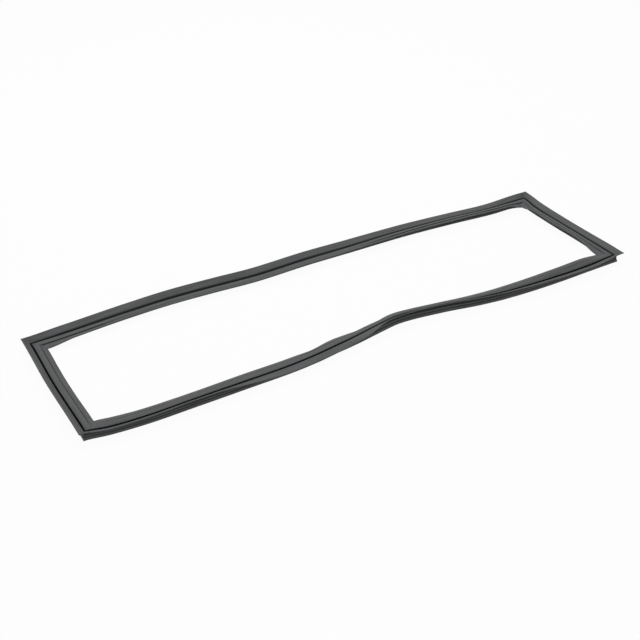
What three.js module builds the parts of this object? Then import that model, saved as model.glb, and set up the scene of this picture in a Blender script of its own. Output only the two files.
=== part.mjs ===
// Drawer gasket: one closed ring of soft extruded vinyl, cut at 45 degrees and welded at its
// four corners, lying loose with its sealing side up.
// Millimetres, +Z up. X runs along the long sides and Y along the short sides. The ring lies
// on z = 0, and the middle of its box is over the origin.

import * as THREE from 'three';

// Ring, measured between the main grooves of opposite sides
const LONG_SIDE = 790;
const SHORT_SIDE = 204;

// Base flange, which the drawer front holds
const FLANGE_OUT = 5.2;
const FLANGE_IN = 4.5;
const FLANGE_EDGE = 3.2;
const FLANGE_SLOPE = 1.1;

// Waist between the flange and the head
const WAIST_OUT = 3.3;
const WAIST_IN = 3;

// Ridge on top, between the main groove and the small notch
const RIDGE_HEIGHT = 11;
const RIDGE_WIDTH = 7.5;
const RIDGE_CROWN = 0.5;

// Outer sealing lip
const LIP_REACH = 10.4;
const LIP_RISE = 5.3;
const LIP_THICKNESS = 1.7;
const GROOVE_WIDTH = 2.1;
const GROOVE_DEPTH = 3.6;

// Inner flap
const FLAP_REACH = 15.4;
const FLAP_STEP = 1.2;
const FLAP_DROP = 3.2;
const FLAP_THICKNESS = 1.6;
const FLAP_ROOT = 8.9;
const NOTCH_WIDTH = 0.9;
const NOTCH_DEPTH = 1;

// Roundings
const EDGE_ROUND = 0.5;

// Corners: the cut slants over this length, and the weld fills the grooves over this one
const MITRE_REACH = 60;
const WELD_REACH = 9;
const WELD_GROOVE_SHARE = 0.35;

// Spacing of the sections along a side
const SECTION_STEP = 17;

// How each side lies, from its left or near end (0) to its right or far end (1).
// shift: millimetres outward; roll: degrees, outer edge up; lip: degrees, lip raised;
// flap: degrees, flap raised; lean: millimetres that the ridge leans inward.
const NEAR_LIE = [
  { at: 0, shift: 0, roll: 0, lip: 0, flap: 0, lean: 0 },
  { at: 0.04, shift: 4.8, roll: -8.2, lip: 0, flap: -7, lean: 0 },
  { at: 0.085, shift: 7.6, roll: -6, lip: 0, flap: -7.5, lean: 0 },
  { at: 0.17, shift: 6.8, roll: -2, lip: 0, flap: -7, lean: 0 },
  { at: 0.26, shift: 5.2, roll: -4.5, lip: 0, flap: -6.3, lean: 0 },
  { at: 0.34, shift: 3.5, roll: -3, lip: 0, flap: -7.3, lean: 0 },
  { at: 0.39, shift: -0.4, roll: -1, lip: -0.6, flap: -8, lean: 0 },
  { at: 0.43, shift: -5.7, roll: -2, lip: -1, flap: -7, lean: 0 },
  { at: 0.47, shift: -9.2, roll: 6, lip: -2, flap: -7.4, lean: 0 },
  { at: 0.515, shift: -14.9, roll: 12, lip: -5, flap: -9, lean: 0 },
  { at: 0.556, shift: -20.5, roll: 9, lip: -7.6, flap: -7.6, lean: 0 },
  { at: 0.635, shift: -13, roll: 12.5, lip: -6.2, flap: -6.6, lean: 0 },
  { at: 0.71, shift: -3.5, roll: 4.5, lip: -6, flap: -6.8, lean: 0 },
  { at: 0.79, shift: 1.8, roll: -4.8, lip: -4, flap: -6.6, lean: 0 },
  { at: 0.88, shift: 2.7, roll: -14, lip: -1.8, flap: -4.4, lean: 0 },
  { at: 0.94, shift: 1.2, roll: -17, lip: -1.2, flap: -3, lean: 0 },
  { at: 1, shift: 0, roll: 0, lip: 0, flap: 0, lean: 0 },
];
const FAR_LIE = [
  { at: 0, shift: 0, roll: 0, lip: 0, flap: 0, lean: 0 },
  { at: 0.067, shift: 4.6, roll: -4.7, lip: -3.6, flap: 0, lean: 2.9 },
  { at: 0.16, shift: 10.9, roll: -7.3, lip: -4.3, flap: 0, lean: 4.3 },
  { at: 0.25, shift: 14.6, roll: -4.5, lip: -3.8, flap: 0, lean: 4.3 },
  { at: 0.33, shift: 12.7, roll: -4, lip: -4.7, flap: 0, lean: 4.4 },
  { at: 0.41, shift: 9, roll: -5.2, lip: -6, flap: 0, lean: 4.4 },
  { at: 0.52, shift: 12, roll: -6.5, lip: -5.8, flap: 0, lean: 4.4 },
  { at: 0.6, shift: 10.8, roll: -11, lip: -6, flap: 0, lean: 4.4 },
  { at: 0.73, shift: 9.2, roll: -17.3, lip: -6.5, flap: 0, lean: 3.4 },
  { at: 0.83, shift: 4, roll: -20.4, lip: -7.6, flap: 0, lean: 2.7 },
  { at: 0.92, shift: -1.7, roll: -20.3, lip: -8, flap: 0, lean: 3.3 },
  { at: 0.965, shift: 0, roll: -15, lip: -5.7, flap: 0, lean: 3.4 },
  { at: 1, shift: 0, roll: 0, lip: 0, flap: 0, lean: 0 },
];
const LEFT_LIE = [
  { at: 0, shift: 0, roll: 0, lip: 0, flap: 0, lean: 0 },
  { at: 0.5, shift: 1.8, roll: 0, lip: 0, flap: 0, lean: 0 },
  { at: 1, shift: 0, roll: 0, lip: 0, flap: 0, lean: 0 },
];
const RIGHT_LIE = [
  { at: 0, shift: 0, roll: 0, lip: 0, flap: 0, lean: 0 },
  { at: 0.27, shift: -2.7, roll: -19, lip: -1, flap: 0, lean: 3.4 },
  { at: 0.58, shift: -4.5, roll: -19.5, lip: -1.3, flap: 0, lean: 3.5 },
  { at: 0.85, shift: -4, roll: -16.5, lip: -0.8, flap: 0, lean: 4 },
  { at: 1, shift: 0, roll: 0, lip: 0, flap: 0, lean: 0 },
];
// Share of its lean by which the ridge also sinks
const LEAN_SINK = 0.4;
const LIE_KEYS = ['shift', 'roll', 'lip', 'flap', 'lean'];

// Smooth curve through the lie values of one side
function lieCurve(stations) {
  const places = stations.map((station) => station.at);
  const values = stations.flatMap((station) => LIE_KEYS.map((key) => station[key]));
  const curve = new THREE.CubicInterpolant(places, values, LIE_KEYS.length);
  curve.settings = { endingStart: THREE.ZeroSlopeEnding, endingEnd: THREE.ZeroSlopeEnding };
  return (at) => {
    const found = curve.evaluate(at);
    return Object.fromEntries(LIE_KEYS.map((key, k) => [key, found[k]]));
  };
}

function turned(point, pivot, degrees) {
  return point.clone().rotateAround(pivot, THREE.MathUtils.degToRad(degrees));
}

// Three points that round the corner between two straight edges
function rounded(before, corner, after, radius) {
  const first = corner.clone().add(before.clone().sub(corner).setLength(radius));
  const last = corner.clone().add(after.clone().sub(corner).setLength(radius));
  const middle = first.clone().add(last).multiplyScalar(0.25).add(corner.clone().multiplyScalar(0.5));
  return [first, middle, last];
}

// Section across a side: x is outward from the main groove and y is up from the base.
// The points go round it from the base's outer corner over the lip, ridge and flap.
function sectionPoints(lie, grooveShare) {
  const at = (x, y) => new THREE.Vector2(x, y);
  const lean = at(-lie.lean, -lie.lean * LEAN_SINK);

  const ridgeOuter = at(0, RIDGE_HEIGHT).add(lean);
  const ridgeInner = at(-RIDGE_WIDTH, RIDGE_HEIGHT).add(lean);
  const crown = at(-RIDGE_WIDTH / 2, RIDGE_HEIGHT + RIDGE_CROWN).add(lean);
  const grooveRoot = at(GROOVE_WIDTH / 3, RIDGE_HEIGHT - GROOVE_DEPTH * grooveShare);

  const lipStart = at(GROOVE_WIDTH, RIDGE_HEIGHT - LIP_THICKNESS / 4);
  const lipTip = at(LIP_REACH, RIDGE_HEIGHT + LIP_RISE);
  const lipAlong = lipTip.clone().sub(lipStart).normalize();
  const lipUnder = at(lipAlong.y, -lipAlong.x).multiplyScalar(LIP_THICKNESS);
  const lipBack = lipStart.clone().add(lipUnder).addScaledVector(lipAlong, LIP_THICKNESS / 2);
  const lipEnd = lipTip.clone().addScaledVector(lipUnder, 0.7);
  const lift = (point) => turned(point, lipBack, lie.lip);

  const notchTop = at(-RIDGE_WIDTH, RIDGE_HEIGHT - FLAP_STEP).add(lean);
  const notchRoot = notchTop.clone().add(at(-NOTCH_WIDTH / 2, -NOTCH_DEPTH * grooveShare));
  const flapStart = notchTop.clone().add(at(-NOTCH_WIDTH, 0));
  const flapTip = at(-FLAP_REACH, RIDGE_HEIGHT - FLAP_DROP);
  const flapUnder = at(0, -FLAP_THICKNESS);
  const flapBack = at(-FLAP_ROOT, RIDGE_HEIGHT - FLAP_DROP - FLAP_THICKNESS);
  const raise = (point) => turned(point, flapBack, -lie.flap);

  const flangeTop = FLANGE_EDGE + FLANGE_SLOPE;
  const outerFoot = at(FLANGE_OUT, 0);
  const outerEdge = at(FLANGE_OUT, FLANGE_EDGE);
  const outerCrease = at(WAIST_OUT, flangeTop);
  const innerCrease = at(-WAIST_IN, flangeTop);
  const innerEdge = at(-FLANGE_IN, FLANGE_EDGE);
  const innerFoot = at(-FLANGE_IN, 0);
  const innerWaist = at(-WAIST_IN, flapBack.y - FLAP_THICKNESS / 2);
  const outerWaist = at(WAIST_OUT, lipBack.y - LIP_THICKNESS);

  const tip = lift(lipTip);
  const end = lift(lipEnd);
  const flapOut = raise(flapTip);
  const flapLow = raise(flapTip.clone().add(flapUnder));
  return [
    outerFoot,
    ...rounded(outerFoot, outerEdge, outerCrease, EDGE_ROUND),
    outerCrease,
    outerWaist,
    lipBack,
    ...rounded(lipBack, end, tip, EDGE_ROUND),
    ...rounded(end, tip, lift(lipStart), EDGE_ROUND),
    lift(lipStart),
    grooveRoot,
    ...rounded(grooveRoot, ridgeOuter, crown, EDGE_ROUND),
    crown,
    ...rounded(crown, ridgeInner, notchTop, EDGE_ROUND),
    notchTop,
    notchRoot,
    raise(flapStart),
    ...rounded(flapStart, flapOut, flapLow, EDGE_ROUND),
    flapLow,
    flapBack,
    innerWaist,
    innerCrease,
    ...rounded(innerCrease, innerEdge, innerFoot, EDGE_ROUND),
    innerFoot,
  ];
}

// One section as it lies: rolled about the middle of its base and let down to the surface
function laidSection(lie, grooveShare) {
  const pivot = new THREE.Vector2((FLANGE_OUT - FLANGE_IN) / 2, 0);
  const points = sectionPoints(lie, grooveShare).map((point) => turned(point, pivot, lie.roll));
  const lowest = Math.min(...points.map((point) => point.y));
  return points.map((point) => new THREE.Vector2(point.x + lie.shift, point.y - lowest));
}

// Distances of a side's sections from its first mitre: three at each weld and even steps between
function sectionPlaces(length) {
  const count = Math.max(4, Math.round(length / SECTION_STEP));
  const places = [0, WELD_REACH / 2];
  for (let k = 0; k <= count; k += 1) {
    places.push(WELD_REACH + (length - 2 * WELD_REACH) * (k / count));
  }
  places.push(length - WELD_REACH / 2);
  return places;
}

// Sections of one side, from mitre to mitre without the last. place() turns the distance
// along the side, the distance outward and the height into a point of the ring.
function sideSections(length, stations, forward, place) {
  const half = length / 2;
  const lieAt = lieCurve(stations);
  const sections = [];
  for (const distance of sectionPlaces(length)) {
    const share = forward ? distance / length : 1 - distance / length;
    const along = (share - 0.5) * length;
    const toCorner = half - Math.abs(along);
    const slant = Math.sign(along) * Math.max(0, 1 - toCorner / MITRE_REACH);
    const weld = THREE.MathUtils.smoothstep(toCorner, 0, WELD_REACH);
    const grooveShare = THREE.MathUtils.lerp(WELD_GROOVE_SHARE, 1, weld);
    const points = laidSection(lieAt(share), grooveShare);
    sections.push(points.map((point) => place(along + slant * point.x, point.x, point.y)));
  }
  return sections;
}

// The ring's sections, anticlockwise seen from above, starting at the near left corner
function ringSections() {
  const halfLong = LONG_SIDE / 2;
  const halfShort = SHORT_SIDE / 2;
  const point = (x, y, z) => new THREE.Vector3(x, y, z);
  return [
    ...sideSections(LONG_SIDE, NEAR_LIE, true, (along, out, up) => point(along, -halfShort - out, up)),
    ...sideSections(SHORT_SIDE, RIGHT_LIE, true, (along, out, up) => point(halfLong + out, along, up)),
    ...sideSections(LONG_SIDE, FAR_LIE, false, (along, out, up) => point(along, halfShort + out, up)),
    ...sideSections(SHORT_SIDE, LEFT_LIE, false, (along, out, up) => point(-halfLong - out, along, up)),
  ];
}

// Skin through the closed loop of sections, each of which is a closed loop of points
function skin(sections) {
  const around = sections[0].length;
  const positions = sections.flat().flatMap((point) => point.toArray());
  const faces = [];
  sections.forEach((section, k) => {
    const here = k * around;
    const next = ((k + 1) % sections.length) * around;
    for (let i = 0; i < around; i += 1) {
      const j = (i + 1) % around;
      faces.push(here + i, next + i, next + j);
      faces.push(here + i, next + j, here + j);
    }
  });
  const geometry = new THREE.BufferGeometry();
  geometry.setAttribute('position', new THREE.Float32BufferAttribute(positions, 3));
  geometry.setIndex(faces);
  return geometry;
}

function gasket() {
  const geometry = skin(ringSections());
  geometry.computeBoundingBox();
  const middle = geometry.boundingBox.getCenter(new THREE.Vector3());
  geometry.translate(-middle.x, -middle.y, 0);
  geometry.computeVertexNormals();
  const vinyl = new THREE.MeshStandardMaterial({ color: 0x585a5d, roughness: 0.6, metalness: 0 });
  const mesh = new THREE.Mesh(geometry, vinyl);
  mesh.name = 'gasket';
  return mesh;
}

const drawerGasket = new THREE.Group();
drawerGasket.add(gasket());

export default drawerGasket;
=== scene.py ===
import bpy
import math
from mathutils import Matrix, Vector, noise


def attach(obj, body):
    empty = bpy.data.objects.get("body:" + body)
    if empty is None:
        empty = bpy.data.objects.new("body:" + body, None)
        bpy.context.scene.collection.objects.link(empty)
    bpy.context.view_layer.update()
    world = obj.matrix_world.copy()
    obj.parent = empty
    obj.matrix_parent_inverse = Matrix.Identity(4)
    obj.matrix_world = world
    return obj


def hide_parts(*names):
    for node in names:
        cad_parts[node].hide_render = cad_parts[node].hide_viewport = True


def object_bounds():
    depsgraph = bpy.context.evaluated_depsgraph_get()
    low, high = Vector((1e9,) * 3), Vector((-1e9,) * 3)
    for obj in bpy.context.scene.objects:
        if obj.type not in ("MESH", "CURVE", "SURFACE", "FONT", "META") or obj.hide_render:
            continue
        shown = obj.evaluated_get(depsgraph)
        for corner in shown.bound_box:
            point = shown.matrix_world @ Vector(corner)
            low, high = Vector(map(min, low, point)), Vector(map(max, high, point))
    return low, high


# Drawer gasket: a ring of soft extruded vinyl, mitre-welded at its corners, lying loose.
# Metres in the scene. The profile and the lie are in millimetres and degrees, as in the solid.

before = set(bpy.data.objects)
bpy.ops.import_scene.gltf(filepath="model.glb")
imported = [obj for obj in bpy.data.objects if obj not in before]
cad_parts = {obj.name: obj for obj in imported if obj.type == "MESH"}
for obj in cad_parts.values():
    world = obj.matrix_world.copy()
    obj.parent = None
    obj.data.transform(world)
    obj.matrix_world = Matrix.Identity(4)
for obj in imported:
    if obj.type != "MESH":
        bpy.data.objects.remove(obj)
CAD_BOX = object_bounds()

MM = 0.001

# Ring, measured between the main grooves of opposite sides
LONG_SIDE = 790
SHORT_SIDE = 204

# Base flange and waist
FLANGE_OUT = 5.2
FLANGE_IN = 4.5
FLANGE_EDGE = 3.2
FLANGE_SLOPE = 1.1
WAIST_OUT = 4.2
WAIST_IN = 3

# Ridge, outer lip, grooves and inner flap
RIDGE_HEIGHT = 11
RIDGE_WIDTH = 7.5
RIDGE_CROWN = 0.5
LIP_REACH = 10.4
LIP_RISE = 5.3
LIP_THICKNESS = 1.7
LIP_TAPER = 0.7
GROOVE_WIDTH = 2.1
GROOVE_DEPTH = 3.6
FLAP_REACH = 15.4
FLAP_STEP = 1.2
FLAP_DROP = 3.2
FLAP_THICKNESS = 1.6
FLAP_ROOT = 8.9
NOTCH_WIDTH = 0.9
NOTCH_DEPTH = 1

# Where the ridge leans: its sinking, the groove's loss of depth and the lip's root that follows
# it, for each millimetre of lean, and the lean at which the small notch is shut
LEAN_SINK = 0.4
LEAN_SHALLOWS = 0.1
LEAN_FOLLOWED = 0.8
LEAN_SHUT = 4.4

# How open the small notch is on each side, and the share of the flap's step left when it is shut
NEAR_NOTCH = 0.6
RIGHT_NOTCH = 0.3
FAR_NOTCH = 1
LEFT_NOTCH = 0.6
SHUT_STEP_SHARE = 0.2

# Share of the lip's turn that its root takes, and how far the painted shade at its root reaches, with
# more for each millimetre of lean
LIP_ROOT_SHARE = 1 / 3
LIP_SHADE = 0.8
LIP_SHADE_BY_LEAN = 0.65

# Corners
MITRE_REACH = 60
WELD_REACH = 9
WELD_GROOVE_SHARE = 0.35
WELD_NOTCH_SHARE = 0.3
SEAM_HEIGHT = 0.22
SEAM_REACH = 0.8
SEAM_PLACES = (0, 0.4, 0.8, 1.3, 2, 3, 4.5, 6.5)

# Mesh: section spacing, points on a rounded corner, and the largest share of an edge that one
# corner's rounding or painted highlight and shade takes
SECTION_STEP = 4
ROUND_STEPS = 3
EDGE_SHARE = 0.45
SHARP_DEGREES = 50

# Small unevenness of the lip, in degrees, and its length along the ring
LIP_WAVE = 0.9
LIP_WAVE_LENGTH = 45

# How each side lies: share of its length, millimetres outward, roll (outer edge up), degrees
# that the lip and the flap are raised, and millimetres that the ridge leans inward
NEAR_LIE = (
    (0, 0, 0, 0, 0, 0),
    (0.04, 4.8, -8.2, 0, -7, 0),
    (0.085, 7.6, -6, 0, -7.5, 0),
    (0.17, 6.8, -2, 0, -7, 0),
    (0.26, 5.2, -4.5, 0, -6.3, 0),
    (0.34, 3.5, -3, 0, -7.3, 0),
    (0.39, -0.4, -1, -0.6, -8, 0),
    (0.43, -5.7, -2, -1, -7, 0),
    (0.47, -9.2, 6, -2, -7.4, 0),
    (0.515, -14.9, 12, -5, -9, 0),
    (0.556, -20.5, 9, -7.6, -7.6, 0),
    (0.635, -13, 12.5, -6.2, -6.6, 0),
    (0.71, -3.5, 4.5, -6, -6.8, 0),
    (0.79, 1.8, -4.8, -4, -6.6, 0),
    (0.88, 2.7, -14, -1.8, -4.4, 0),
    (0.94, 1.2, -17, -1.2, -3, 0),
    (1, 0, 0, 0, 0, 0),
)
FAR_LIE = (
    (0, 0, 0, 0, 0, 0),
    (0.067, 4.6, -4.7, -3.6, 0, 2.9),
    (0.16, 10.9, -7.3, -4.3, 0, 4.3),
    (0.25, 14.6, -4.5, -3.8, 0, 4.3),
    (0.33, 12.7, -4, -4.7, 0, 4.4),
    (0.41, 9, -5.2, -6, 0, 4.4),
    (0.52, 12, -6.5, -5.8, 0, 4.4),
    (0.6, 10.8, -11, -6, 0, 4.4),
    (0.73, 9.2, -17.3, -6.5, 0, 3.4),
    (0.83, 4, -20.4, -7.6, 0, 2.7),
    (0.92, -1.7, -20.3, -8, 0, 3.3),
    (0.965, 0, -15, -5.7, 0, 3.4),
    (1, 0, 0, 0, 0, 0),
)
LEFT_LIE = (
    (0, 0, 0, 0, 0, 0),
    (0.5, 1.8, 0, 0, 0, 0),
    (1, 0, 0, 0, 0, 0),
)
RIGHT_LIE = (
    (0, 0, 0, 0, 0, 0),
    (0.27, -2.7, -19, -1, 0, 3.4),
    (0.58, -4.5, -19.5, -1.3, 0, 3.5),
    (0.85, -4, -16.5, -0.8, 0, 4),
    (1, 0, 0, 0, 0, 0),
)

# Places where the near side's flap curls down: share of its length, width of the curl, degrees
NEAR_CURLS = ((0.385, 0.02, -10), (0.497, 0.028, -16))

# The near side's lip folds down between these shares of its length, and its ridge leans outward
FOLD_FROM, FOLD_FULL, FOLD_LAST, FOLD_TO = 0.2, 0.33, 0.475, 0.535
FOLD_DEGREES = -48
NEAR_LEAN = -0.9

# Places of two of the values of a lie
LIP, LEAN = 2, 4

# Camera, as it was fitted to the photo's corners
CAMERA_AT = (-0.64476, -1.13027, 0.82374)
CAMERA_AZIMUTH = 28.67
CAMERA_DOWN = 33.22
CAMERA_ROLL = -1.07
CAMERA_LENS = 63.41
CAMERA_SENSOR = 36

# Lamps: place, width and power. Both aim at the ring's middle.
LAMPS = {
    "key": ((0.2, 0.75, 1.5), 1.5, 15),
    "fill": ((-0.7, -1.4, 1.1), 1.2, 6),
}
SOFT_LIGHT = 0.38

# Floor
FLOOR_HALF = 8
FLOOR_DROP = 0.0001
FLOOR_TONE = (0.88, 0.88, 0.88, 1)
FLOOR_GLOW = 0.95
WHITE = (1, 1, 1, 1)

# Colours of the vinyl, linear
MOTTLE_DARK = (0.038, 0.0392, 0.0405, 1)
MOTTLE_PALE = (0.052, 0.0535, 0.055, 1)
STREAK_TONE = (0.088, 0.09, 0.093, 1)
DUST_TONE = (0.13, 0.13, 0.13, 1)
# Painted highlight: a lighter colour on the ridge's edges and the lip's tip, where light would catch them
PAINTED_HIGHLIGHT_TONE = (0.11, 0.113, 0.118, 1)
SEAM_TONE = (0.04, 0.042, 0.045, 1)
# Painted shade: near black in the grooves, the small notch, under the lip and at the waist, where shade
# falls
PAINTED_SHADE_TONE = (0.005, 0.0052, 0.0056, 1)

# Waves of the drawn lines for each millimetre along the ring and round its section
RUN_SCALE = 0.02
GIRTH_SCALE = 0.24


# Lie and section

def lie_at(stations, share):
    """Lie at a share of a side: a smooth curve through the stations, level at both ends.

    It is a list of the way outward, roll, lip, flap and lean, as in the tables of lies."""
    k = 0
    while k < len(stations) - 2 and share > stations[k + 1][0]:
        k += 1
    start, end = stations[k], stations[k + 1]
    span = end[0] - start[0]
    p = (share - start[0]) / span

    def slope(n, key):
        if n in (0, len(stations) - 1):
            return 0
        before, here, after = stations[n - 1:n + 2]
        left = (here[key] - before[key]) / (here[0] - before[0])
        right = (after[key] - here[key]) / (after[0] - here[0])
        return (left + right) / 2

    values = []
    for key in range(1, 6):
        values.append((2 * p ** 3 - 3 * p ** 2 + 1) * start[key]
                      + (p ** 3 - 2 * p ** 2 + p) * span * slope(k, key)
                      + (3 * p ** 2 - 2 * p ** 3) * end[key]
                      + (p ** 3 - p ** 2) * span * slope(k + 1, key))
    return values


def turned(point, pivot, degrees):
    return pivot + Matrix.Rotation(math.radians(degrees), 2) @ (point - pivot)


def section_corners(lip, flap, lean, groove_share, notch):
    """Corners of the section with their rounding, painted highlight, painted shade and how far these two
    spread.

    x is outward from the main groove and y is up from the base. They go round from the
    base's outer corner over the lip, ridge and flap. notch is how open the small notch is."""
    def at(x, y):
        return Vector((x, y))

    lean_by = at(-lean, -lean * LEAN_SINK)
    ridge_outer = at(0, RIDGE_HEIGHT) + lean_by
    ridge_inner = at(-RIDGE_WIDTH, RIDGE_HEIGHT) + lean_by
    crown = at(-RIDGE_WIDTH / 2, RIDGE_HEIGHT + RIDGE_CROWN) + lean_by
    groove_depth = GROOVE_DEPTH * groove_share * (1 - LEAN_SHALLOWS * max(0, lean))
    groove_root = ridge_outer + at(GROOVE_WIDTH / 3, -groove_depth)

    lip_start = at(GROOVE_WIDTH + max(0, -lean), RIDGE_HEIGHT - LIP_THICKNESS / 4)
    lip_tip = at(LIP_REACH, RIDGE_HEIGHT + LIP_RISE)
    lip_along = (lip_tip - lip_start).normalized()
    lip_under = at(lip_along.y, -lip_along.x) * LIP_THICKNESS
    lip_back = lip_start + lip_under + lip_along * (LIP_THICKNESS / 2)
    lip_end = lip_tip + lip_under * LIP_TAPER
    lip_low = lip_start - lip_along * (LEAN_FOLLOWED * max(0, lean))
    root_turn = 0 if lean > 0 else lip * LIP_ROOT_SHARE
    root_shade = LIP_SHADE + LIP_SHADE_BY_LEAN * max(0, lean)

    step = FLAP_STEP * (SHUT_STEP_SHARE + (1 - SHUT_STEP_SHARE) * min(1, notch * 2))
    notch_top = at(-RIDGE_WIDTH, RIDGE_HEIGHT - step) + lean_by
    notch_root = notch_top + at(-NOTCH_WIDTH / 2, -NOTCH_DEPTH * groove_share * notch)
    flap_start = notch_top + at(-NOTCH_WIDTH, 0)
    flap_tip = at(-FLAP_REACH, RIDGE_HEIGHT - FLAP_DROP)
    flap_low = flap_tip + at(0, -FLAP_THICKNESS)
    flap_back = at(-FLAP_ROOT, RIDGE_HEIGHT - FLAP_DROP - FLAP_THICKNESS)

    flange_top = FLANGE_EDGE + FLANGE_SLOPE
    # Each corner: point, rounding radius, painted highlight, painted shade, and how far these two spread
    return (
        (at(FLANGE_OUT, 0), 0.3, 0, 0.5, 0.5),
        (at(FLANGE_OUT, FLANGE_EDGE), 0.6, 0.4, 0, 0.5),
        (at(WAIST_OUT, flange_top), 0.4, 0, 0.5, 0.5),
        (at(WAIST_OUT, lip_back.y - LIP_THICKNESS), 0.8, 0, 0.5, 0.9),
        (lip_back, 0.8, 0, 0.9, 1.4),
        (turned(lip_end, lip_back, lip), 0.5, 0.6, 0, 0.6),
        (turned(lip_tip, lip_back, lip), 0.5, 1, 0, 0.8),
        (turned(lip_low, lip_back, root_turn), 0.3, 0, 1, root_shade),
        (groove_root, 0.4, 0, 1, 14),
        (ridge_outer, 0.5, 0.9, 0, 0.4),
        (crown, 2.5, 0.1, 0, 1),
        (ridge_inner, 0.5, 0.7, 0, 0.6),
        (notch_top, 0.1, 0, 0.6 * notch, 0.3),
        (notch_root, 0.2, 0, notch, 2),
        (turned(flap_start, flap_back, -flap), 0.3, 0, 0.4 * notch, 0.5),
        (turned(flap_tip, flap_back, -flap), 0.5, 0.9, 0, 0.8),
        (turned(flap_low, flap_back, -flap), 0.5, 0.3, 0, 0.5),
        (flap_back, 0.8, 0, 0.8, 2),
        (at(-WAIST_IN, flap_back.y - FLAP_THICKNESS / 2), 0.8, 0, 0.9, 1),
        (at(-WAIST_IN, flange_top), 0.5, 0, 0.9, 0.6),
        (at(-FLANGE_IN, FLANGE_EDGE), 0.6, 0.2, 0, 0.5),
        (at(-FLANGE_IN, 0), 0.3, 0, 0.4, 0.5),
    )


def rounded_corner(before, corner, after, radius):
    to_before = before - corner
    to_after = after - corner
    reach = min(radius, to_before.length * EDGE_SHARE, to_after.length * EDGE_SHARE)
    first = corner + to_before.normalized() * reach
    last = corner + to_after.normalized() * reach
    shares = [step / ROUND_STEPS for step in range(ROUND_STEPS + 1)]
    return [first * (1 - t) ** 2 + corner * (2 * t * (1 - t)) + last * t ** 2 for t in shares]


def rounded_outline(corners):
    """The section's points with every corner rounded, each with its painted highlight and painted shade.

    Two more points on every straight edge end the spread of its corners' painted highlight and shade."""
    count = len(corners)
    arcs = [rounded_corner(corners[k - 1][0], corners[k][0], corners[(k + 1) % count][0], corners[k][1])
            for k in range(count)]
    outline = []
    for k in range(count):
        after = (k + 1) % count
        here_tones, here_spread = corners[k][2:4], corners[k][4]
        next_tones, next_spread = corners[after][2:4], corners[after][4]
        outline += [(point, *here_tones) for point in arcs[k]]
        start = arcs[k][-1]
        edge = arcs[after][0] - start
        most = edge.length * EDGE_SHARE
        for passed in (min(here_spread, most), edge.length - min(next_spread, most)):
            from_here = max(0, 1 - passed / here_spread)
            from_next = max(0, 1 - (edge.length - passed) / next_spread)
            tones = [max(a * from_here, b * from_next) for a, b in zip(here_tones, next_tones)]
            outline.append((start + edge * (passed / edge.length), *tones))
    return outline


def laid_section(lie, groove_share, notch, seam):
    """One section as it lies: rolled about its base, let down to the surface, with its seam."""
    shift, roll, lip, flap, lean = lie
    outline = rounded_outline(section_corners(lip, flap, lean, groove_share, notch))
    pivot = Vector(((FLANGE_OUT - FLANGE_IN) / 2, 0))
    points = [turned(point, pivot, roll) for point, edge_highlight, painted_shade in outline]
    lowest = min(point.y for point in points)
    laid = []
    for k, point in enumerate(points):
        tangent = points[(k + 1) % len(points)] - points[k - 1]
        outward = Vector((tangent.y, -tangent.x)).normalized() * (SEAM_HEIGHT * seam)
        y = max(0, point.y - lowest + outward.y)
        laid.append((point.x + shift + outward.x, y, outline[k][1], outline[k][2]))
    return laid


# Ring of sections

def section_places(length):
    """Distances of a side's sections from its first mitre, without its last mitre."""
    inner = length - 2 * WELD_REACH
    count = round(inner / SECTION_STEP)
    places = list(SEAM_PLACES)
    places += [WELD_REACH + inner * k / count for k in range(count + 1)]
    places += [length - place for place in reversed(SEAM_PLACES[1:])]
    return places


def smooth(start, end, value):
    """0 before start, 1 after end and a smooth rise between them."""
    share = min(1, max(0, (value - start) / (end - start)))
    return share * share * (3 - 2 * share)


def near_fold(share, weld):
    """What the near side's lip, flap and ridge do beyond the solid's lie."""
    fold = smooth(FOLD_FROM, FOLD_FULL, share) * (1 - smooth(FOLD_LAST, FOLD_TO, share))
    curl = sum(degrees * math.exp(-((share - at) / width) ** 2) for at, width, degrees in NEAR_CURLS)
    return (0, 0, FOLD_DEGREES * fold, curl, NEAR_LEAN * weld)


def side_sections(length, stations, forward, place, notch, beyond, seed):
    """Sections of one side from mitre to mitre.

    forward says whether the side runs the way that its lie is written. place() turns the
    distance along the side, the distance outward and the height into a point of the ring.
    beyond() gives what is added to the lie, and seed tells the sides' lip waves apart."""
    sections = []
    for distance in section_places(length):
        share = distance / length if forward else 1 - distance / length
        along = (share - 0.5) * length
        to_corner = length / 2 - abs(along)
        slant = math.copysign(max(0, 1 - to_corner / MITRE_REACH), along)
        weld = smooth(0, WELD_REACH, to_corner)
        groove_share = WELD_GROOVE_SHARE + (1 - WELD_GROOVE_SHARE) * weld
        seam = math.exp(-(to_corner / SEAM_REACH) ** 2)
        lie = lie_at(stations, share)
        wave = noise.noise(Vector((distance / LIP_WAVE_LENGTH, seed, 0)))
        lie[LIP] += LIP_WAVE * weld * wave
        if beyond:
            lie = [a + b for a, b in zip(lie, beyond(share, weld))]
        opened = min(1, max(0, LEAN_SHUT - lie[LEAN]))
        open_notch = notch * opened * (WELD_NOTCH_SHARE + (1 - WELD_NOTCH_SHARE) * weld)
        section = []
        for x, y, edge_highlight, painted_shade in laid_section(lie, groove_share, open_notch, seam):
            where = place(along + slant * x, x, y)
            section.append((where, edge_highlight, painted_shade, seam))
        sections.append(section)
    return sections


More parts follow.
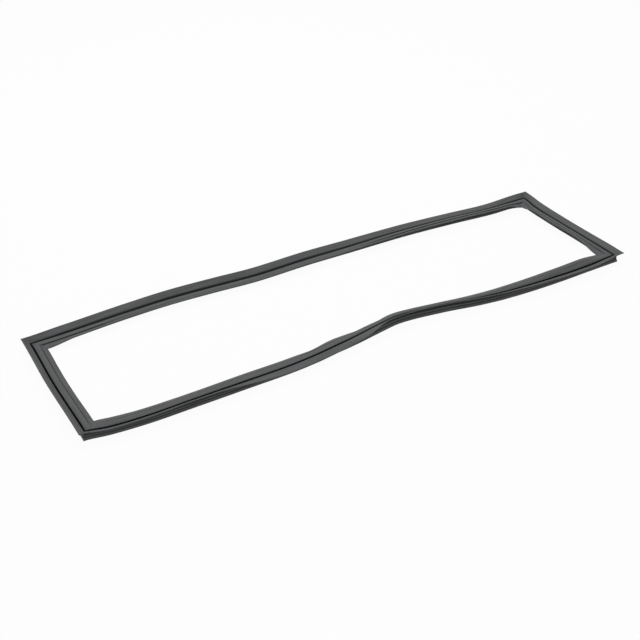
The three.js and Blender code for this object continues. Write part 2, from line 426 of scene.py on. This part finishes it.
def ring_sections():
    """The ring's sections, anticlockwise seen from above, starting at the near left corner."""
    half_long = LONG_SIDE / 2
    half_short = SHORT_SIDE / 2
    return (
        side_sections(LONG_SIDE, NEAR_LIE, True,
                      lambda along, out, up: Vector((along, -half_short - out, up)),
                      NEAR_NOTCH, near_fold, 1)
        + side_sections(SHORT_SIDE, RIGHT_LIE, True,
                        lambda along, out, up: Vector((half_long + out, along, up)),
                        RIGHT_NOTCH, None, 2)
        + side_sections(LONG_SIDE, FAR_LIE, False,
                        lambda along, out, up: Vector((along, half_short + out, up)),
                        FAR_NOTCH, None, 3)
        + side_sections(SHORT_SIDE, LEFT_LIE, False,
                        lambda along, out, up: Vector((-half_long - out, along, up)),
                        LEFT_NOTCH, None, 4)
    )


def add_float(mesh, name, values):
    mesh.attributes.new(name, "FLOAT", "POINT").data.foreach_set("value", values)


def gasket_mesh():
    """The ring's skin over the CAD box's middle, with what its material reads at each point."""
    sections = ring_sections()
    around = len(sections[0])
    points = []
    edge_highlight, painted_shade, seam, run, girth = [], [], [], [], []
    travelled = 0
    for k, section in enumerate(sections):
        if k:
            travelled += (section[0][0] - sections[k - 1][0][0]).length
        passed = 0
        for i, (where, highlighted, shaded, seamed) in enumerate(section):
            if i:
                passed += (where - section[i - 1][0]).length
            points.append(where * MM)
            edge_highlight.append(highlighted)
            painted_shade.append(shaded)
            seam.append(seamed)
            run.append(travelled)
            girth.append(passed)
    faces = []
    for k in range(len(sections)):
        here = k * around
        after = (k + 1) % len(sections) * around
        for i in range(around):
            j = (i + 1) % around
            faces.append((here + i, after + i, after + j, here + j))
    low, high = CAD_BOX
    middle = Vector(((min(p.x for p in points) + max(p.x for p in points)) / 2,
                     (min(p.y for p in points) + max(p.y for p in points)) / 2, 0))
    wanted = Vector(((low[0] + high[0]) / 2, (low[1] + high[1]) / 2, 0))
    mesh = bpy.data.meshes.new("gasket_skin")
    mesh.from_pydata([p - middle + wanted for p in points], [], faces)
    add_float(mesh, "edge_highlight", edge_highlight)
    add_float(mesh, "painted_shade", painted_shade)
    add_float(mesh, "seam", seam)
    add_float(mesh, "run", run)
    add_float(mesh, "girth", girth)
    mesh.shade_smooth()
    mesh.set_sharp_from_angle(angle=math.radians(SHARP_DEGREES))
    return mesh


# Materials

def add_node(tree, kind, settings=None, inputs=None):
    """A node with its settings, its constants, and links from the sockets given as inputs."""
    made = tree.nodes.new(kind)
    for key, value in (settings or {}).items():
        setattr(made, key, value)
    for key, value in (inputs or {}).items():
        if isinstance(value, bpy.types.NodeSocket):
            tree.links.new(value, made.inputs[key])
        else:
            made.inputs[key].default_value = value
    return made


def attribute(tree, name):
    return add_node(tree, "ShaderNodeAttribute", {"attribute_name": name}).outputs["Fac"]


def scaled(tree, value, factor):
    return add_node(tree, "ShaderNodeMath", {"operation": "MULTIPLY"}, {0: value, 1: factor}).outputs[0]


def speckle(tree, vector, scale, detail, roughness):
    return add_node(tree, "ShaderNodeTexNoise", inputs={
        "Vector": vector, "Scale": scale, "Detail": detail, "Roughness": roughness}).outputs["Fac"]


def ranged(tree, value, low, high, to_low, to_high):
    return add_node(tree, "ShaderNodeMapRange", inputs={
        "Value": value, "From Min": low, "From Max": high,
        "To Min": to_low, "To Max": to_high}).outputs["Result"]


def blended(tree, factor, first, second):
    made = add_node(tree, "ShaderNodeMix", {"data_type": "RGBA"})
    tree.links.new(factor, made.inputs[0])
    for socket, value in ((6, first), (7, second)):
        if isinstance(value, bpy.types.NodeSocket):
            tree.links.new(value, made.inputs[socket])
        else:
            made.inputs[socket].default_value = value
    return made.outputs[2]


def vinyl():
    """Dark grey satin vinyl: drawn lines along the extrusion, fine grain, painted highlights on edges,
    painted shade in hollows.
    """
    material = bpy.data.materials.new("gasket_vinyl")
    material.use_nodes = True
    tree = material.node_tree
    shader = tree.nodes["Principled BSDF"]

    place = add_node(tree, "ShaderNodeTexCoord").outputs["Object"]
    drawn = add_node(tree, "ShaderNodeCombineXYZ", inputs={
        "X": scaled(tree, attribute(tree, "run"), RUN_SCALE),
        "Y": scaled(tree, attribute(tree, "girth"), GIRTH_SCALE)}).outputs["Vector"]
    streaks = speckle(tree, drawn, 1.0, 4, 0.6)
    mottle = speckle(tree, place, 22, 4, 0.6)
    dust = speckle(tree, place, 260, 3, 0.7)
    grain = speckle(tree, place, 2600, 2, 0.6)

    tone = blended(tree, ranged(tree, mottle, 0.3, 0.7, 0, 1), MOTTLE_DARK, MOTTLE_PALE)
    tone = blended(tree, ranged(tree, streaks, 0.38, 0.62, 0, 0.9), tone, STREAK_TONE)
    tone = blended(tree, ranged(tree, dust, 0.62, 0.8, 0, 0.25), tone, DUST_TONE)
    # Painted highlight on the ridge's edges and the lip's tip
    tone = blended(tree, scaled(tree, attribute(tree, "edge_highlight"), 0.35), tone, PAINTED_HIGHLIGHT_TONE)
    tone = blended(tree, scaled(tree, attribute(tree, "seam"), 0.5), tone, SEAM_TONE)
    # Painted shade in the grooves, the notch, under the lip and at the waist
    tone = blended(tree, ranged(tree, attribute(tree, "painted_shade"), 0, 0.65, 0, 0.94), tone, PAINTED_SHADE_TONE)
    tree.links.new(tone, shader.inputs["Base Color"])

    tree.links.new(ranged(tree, streaks, 0.3, 0.7, 0.46, 0.6), shader.inputs["Roughness"])
    # The painted shade also dims the reflection in these hollows
    tree.links.new(ranged(tree, attribute(tree, "painted_shade"), 0, 1, 0.3, 0.02),
                   shader.inputs["Specular IOR Level"])

    lines = add_node(tree, "ShaderNodeBump", inputs={
        "Strength": 0.35, "Distance": 0.00025, "Height": streaks}).outputs["Normal"]
    rough = add_node(tree, "ShaderNodeBump", inputs={
        "Strength": 0.25, "Distance": 0.00006, "Height": grain, "Normal": lines}).outputs["Normal"]
    tree.links.new(rough, shader.inputs["Normal"])
    return material


def seen_directly(tree):
    """1 for rays from the camera and for mirror and glass rays, else 0."""
    path = add_node(tree, "ShaderNodeLightPath")
    shiny = add_node(tree, "ShaderNodeMath", {"operation": "ADD", "use_clamp": True}, {
        0: path.outputs["Is Glossy Ray"], 1: path.outputs["Is Transmission Ray"]}).outputs[0]
    return add_node(tree, "ShaderNodeMath", {"operation": "ADD", "use_clamp": True}, {
        0: path.outputs["Is Camera Ray"], 1: shiny}).outputs[0]


def floor_material():
    material = bpy.data.materials.new("pale_floor")
    material.use_nodes = True
    tree = material.node_tree
    tree.nodes.remove(tree.nodes["Principled BSDF"])
    matt = add_node(tree, "ShaderNodeBsdfDiffuse", inputs={"Color": FLOOR_TONE})
    bright = add_node(tree, "ShaderNodeEmission", inputs={"Color": WHITE, "Strength": 1})
    mix = add_node(tree, "ShaderNodeMixShader", inputs={
        "Fac": scaled(tree, seen_directly(tree), FLOOR_GLOW)})
    tree.links.new(matt.outputs[0], mix.inputs[1])
    tree.links.new(bright.outputs[0], mix.inputs[2])
    tree.links.new(mix.outputs[0], tree.nodes["Material Output"].inputs["Surface"])
    return material


# Pieces, light and camera

def add_gasket():
    piece = bpy.data.objects.new("gasket_ring", gasket_mesh())
    bpy.context.scene.collection.objects.link(piece)
    piece.data.materials.append(vinyl())
    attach(piece, "root")
    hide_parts("gasket")


def add_floor():
    half = FLOOR_HALF
    corners = [(x, y, -FLOOR_DROP) for x, y in ((-half, -half), (half, -half), (half, half), (-half, half))]
    mesh = bpy.data.meshes.new("floor")
    mesh.from_pydata(corners, [], [(0, 1, 2, 3)])
    floor = bpy.data.objects.new("floor", mesh)
    bpy.context.scene.collection.objects.link(floor)
    mesh.materials.append(floor_material())


def add_lamp(name, at, width, power):
    data = bpy.data.lights.new(name, "AREA")
    data.shape = "SQUARE"
    data.size = width
    data.energy = power
    lamp = bpy.data.objects.new(name, data)
    bpy.context.scene.collection.objects.link(lamp)
    lamp.location = at
    lamp.rotation_euler = (-Vector(at)).to_track_quat("-Z", "Y").to_euler()


def set_world():
    world = bpy.data.worlds.new("studio")
    bpy.context.scene.world = world
    world.use_nodes = True
    tree = world.node_tree
    tree.nodes.remove(tree.nodes["Background"])
    soft = add_node(tree, "ShaderNodeBackground", inputs={"Color": WHITE, "Strength": SOFT_LIGHT})
    white = add_node(tree, "ShaderNodeBackground", inputs={"Color": WHITE, "Strength": 1})
    mix = add_node(tree, "ShaderNodeMixShader", inputs={"Fac": seen_directly(tree)})
    tree.links.new(soft.outputs[0], mix.inputs[1])
    tree.links.new(white.outputs[0], mix.inputs[2])
    tree.links.new(mix.outputs[0], tree.nodes["World Output"].inputs["Surface"])


def set_camera():
    azimuth = math.radians(CAMERA_AZIMUTH)
    down = math.radians(CAMERA_DOWN)
    roll = math.radians(CAMERA_ROLL)
    forward = Vector((math.sin(azimuth) * math.cos(down), math.cos(azimuth) * math.cos(down),
                      -math.sin(down)))
    level = Vector((math.cos(azimuth), -math.sin(azimuth), 0))
    upright = level.cross(forward)
    right = level * math.cos(roll) + upright * math.sin(roll)
    up = right.cross(forward)
    data = bpy.data.cameras.new("camera")
    data.sensor_width = CAMERA_SENSOR
    data.lens = CAMERA_LENS
    camera = bpy.data.objects.new("camera", data)
    bpy.context.scene.collection.objects.link(camera)
    turn = Matrix((right, up, -forward)).transposed()
    camera.matrix_world = Matrix.Translation(CAMERA_AT) @ turn.to_4x4()
    bpy.context.scene.camera = camera


add_gasket()
add_floor()
for lamp_name, (lamp_at, lamp_width, lamp_power) in LAMPS.items():
    add_lamp(lamp_name, lamp_at, lamp_width, lamp_power)
set_world()
set_camera()
bpy.context.scene.view_settings.view_transform = "Standard"
